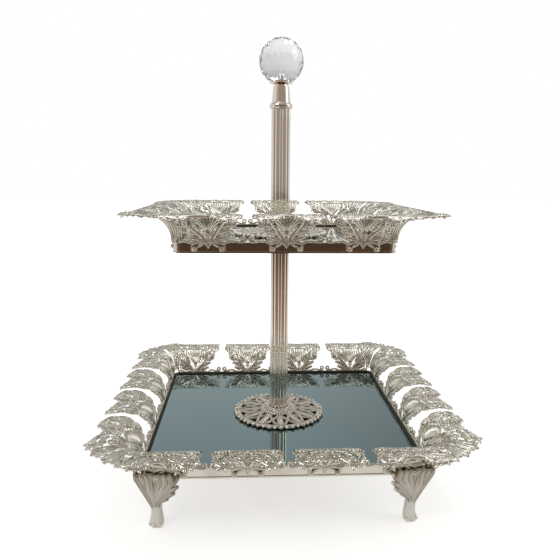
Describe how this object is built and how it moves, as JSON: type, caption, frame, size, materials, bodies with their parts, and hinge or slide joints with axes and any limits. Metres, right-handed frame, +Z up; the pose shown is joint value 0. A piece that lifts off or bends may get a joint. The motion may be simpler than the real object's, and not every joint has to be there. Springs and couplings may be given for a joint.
{
  "type": "tiered cake stand",
  "caption": "Square tiered cake stand with mirror trays, cast openwork galleries and feet in silver plate, a reeded column and a cut crystal ball finial.",
  "frame": {"origin": "on the floor, at the middle of the four feet, under the column", "axes": "+Z up along the column, +X along the front side to the right, -Y to the front"},
  "size_m": [0.3128, 0.3128, 0.3976],
  "materials": {
    "silver_plate": "polished, lightly patinated in the hollows",
    "steel": "zinc-plated",
    "board": "raw hardboard",
    "black_rubber": "matt",
    "mirror_glass": "polished",
    "crystal": "cut and polished"
  },
  "bodies": {
    "stand": {"lower_gallery_front_1": "silver_plate", "lower_gallery_front_2": "silver_plate", "lower_gallery_front_3": "silver_plate", "lower_gallery_front_4": "silver_plate", "lower_gallery_right_1": "silver_plate", "lower_gallery_right_2": "silver_plate", "lower_gallery_right_3": "silver_plate", "lower_gallery_right_4": "silver_plate", "lower_gallery_back_1": "silver_plate", "lower_gallery_back_2": "silver_plate", "lower_gallery_back_3": "silver_plate", "lower_gallery_back_4": "silver_plate", "lower_gallery_left_1": "silver_plate", "lower_gallery_left_2": "silver_plate", "lower_gallery_left_3": "silver_plate", "lower_gallery_left_4": "silver_plate", "lower_gallery_rivets": "silver_plate", "lower_tray_pan": "silver_plate", "lower_tray_board": "board", "lower_mirror_gasket": "black_rubber", "lower_mirror": "mirror_glass", "foot_front_right": "silver_plate", "foot_back_right": "silver_plate", "foot_back_left": "silver_plate", "foot_front_left": "silver_plate", "lower_rosette": "silver_plate", "lower_column_tube": "silver_plate", "lower_column_plugs": "steel", "upper_column_tube": "silver_plate", "upper_column_plugs": "steel", "tie_rod": "steel", "base_washer": "steel", "base_nut": "steel"},
    "upper_tray": {"upper_gallery_front_1": "silver_plate", "upper_gallery_front_2": "silver_plate", "upper_gallery_front_3": "silver_plate", "upper_gallery_right_1": "silver_plate", "upper_gallery_right_2": "silver_plate", "upper_gallery_right_3": "silver_plate", "upper_gallery_back_1": "silver_plate", "upper_gallery_back_2": "silver_plate", "upper_gallery_back_3": "silver_plate", "upper_gallery_left_1": "silver_plate", "upper_gallery_left_2": "silver_plate", "upper_gallery_left_3": "silver_plate", "upper_gallery_rivets": "silver_plate", "upper_tray_pan": "silver_plate", "upper_tray_board": "board", "upper_mirror_gasket": "black_rubber", "upper_mirror": "mirror_glass", "upper_rosette": "silver_plate"},
    "finial_nut": {"finial_insert": "steel"},
    "finial": {"finial_ferrule": "silver_plate", "finial_cup": "silver_plate", "finial_stud": "steel", "crystal_ball": "crystal"}
  },
  "joints": [
    {"name": "upper_tray_swivel", "type": "hinge", "parent": "stand", "child": "upper_tray", "pos_m": [0, 0, 0.22], "axis": [0, 0, 1], "continuous": true},
    {"name": "finial_rise", "type": "slide", "parent": "stand", "child": "finial_nut", "axis": [0, 0, 1], "range_m": [0, 0.005]},
    {"name": "finial_turn", "type": "hinge", "parent": "finial_nut", "child": "finial", "pos_m": [0, 0, 0.34], "axis": [0, 0, 1], "range_deg": [0, 1800]}
  ],
  "couplings": [
    {"joint": "finial_turn", "follows": "finial_rise", "rad_per_m": 6283.2}
  ]
}
